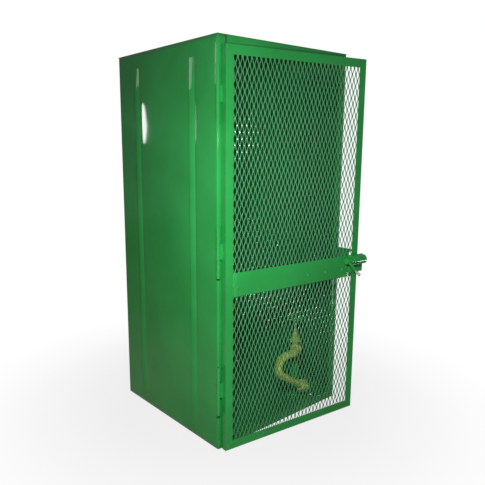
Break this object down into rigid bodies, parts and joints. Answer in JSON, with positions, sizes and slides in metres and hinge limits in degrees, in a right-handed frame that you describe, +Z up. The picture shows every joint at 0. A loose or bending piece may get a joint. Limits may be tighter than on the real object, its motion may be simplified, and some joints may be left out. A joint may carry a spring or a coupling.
{
  "type": "standpipe cabinet",
  "caption": "Free-standing steel hose cabinet with a hinged expanded-metal door, a barrel bolt, and a floor riser with an angle hose valve and a swan-neck outlet.",
  "frame": {"origin": "middle of the cabinet's footprint on the floor, on the underside of the floor pan", "axes": "+Z up; the door faces -Y; +X is to the right for someone facing the door, so the hinges are on the -X side"},
  "size_m": [0.8095, 0.94, 1.676],
  "materials": {
    "green_enamel": "glossy brushed-on enamel",
    "plated_steel": "zinc plated",
    "valve_brass": "cast and turned brass, slightly dulled",
    "black_rubber": "matt"
  },
  "bodies": {
    "cabinet": {"left_panel": "green_enamel", "right_panel": "green_enamel", "back_panel": "green_enamel", "roof_pan": "green_enamel", "floor_pan": "green_enamel", "front_header": "green_enamel", "front_sill": "green_enamel", "roof_bolts": "green_enamel", "roof_nuts": "plated_steel", "hinge_body_knuckles": "green_enamel", "hinge_pins": "plated_steel", "bolt_keeper": "green_enamel", "riser_flange": "green_enamel", "riser_pipe": "green_enamel", "valve_body": "valve_brass", "valve_bonnet": "valve_brass", "packing_nut": "valve_brass", "union_nut": "valve_brass", "outlet_bend": "valve_brass"},
    "door": {"hinge_stile": "green_enamel", "latch_stile": "green_enamel", "top_rail": "green_enamel", "bottom_rail": "green_enamel", "middle_rail": "green_enamel", "mesh_backing_bar": "green_enamel", "upper_mesh": "green_enamel", "lower_mesh": "green_enamel", "rail_bolts": "green_enamel", "rail_nuts": "plated_steel", "hinge_door_knuckles": "green_enamel", "latch_base_plate": "green_enamel", "bolt_barrel": "green_enamel"},
    "bolt": {"sliding_bolt": "green_enamel", "bolt_handle": "green_enamel"},
    "lift": {"valve_disc": "valve_brass", "disc_washer": "black_rubber"},
    "stem": {"valve_stem": "valve_brass", "handwheel": "green_enamel", "handwheel_nut": "plated_steel"},
    "swivel": {"hose_coupling": "valve_brass", "coupling_gasket": "black_rubber"}
  },
  "joints": [
    {"name": "door_swing", "type": "hinge", "parent": "cabinet", "child": "door", "pos_m": [-0.392, -0.369, 0.855], "axis": [0, 0, -1], "range_deg": [-7.2, 172.8]},
    {"name": "bolt_slide", "type": "slide", "parent": "door", "child": "bolt", "axis": [0.9921, -0.1253, 0], "range_m": [0, 0.045]},
    {"name": "disc_lift", "type": "slide", "parent": "cabinet", "child": "lift", "axis": [0, 0, 1], "range_m": [0, 0.01]},
    {"name": "stem_turn", "type": "hinge", "parent": "lift", "child": "stem", "pos_m": [0.255, -0.211, 0.3], "axis": [0, 0, 1], "range_deg": [0, 1080]},
    {"name": "coupling_swivel", "type": "hinge", "parent": "cabinet", "child": "swivel", "pos_m": [0.23693, -0.278, 0.07191], "axis": [0.848, 0, -0.5299], "continuous": true}
  ],
  "couplings": [
    {"joint": "disc_lift", "follows": "stem_turn", "m_per_rad": 0.00053}
  ]
}
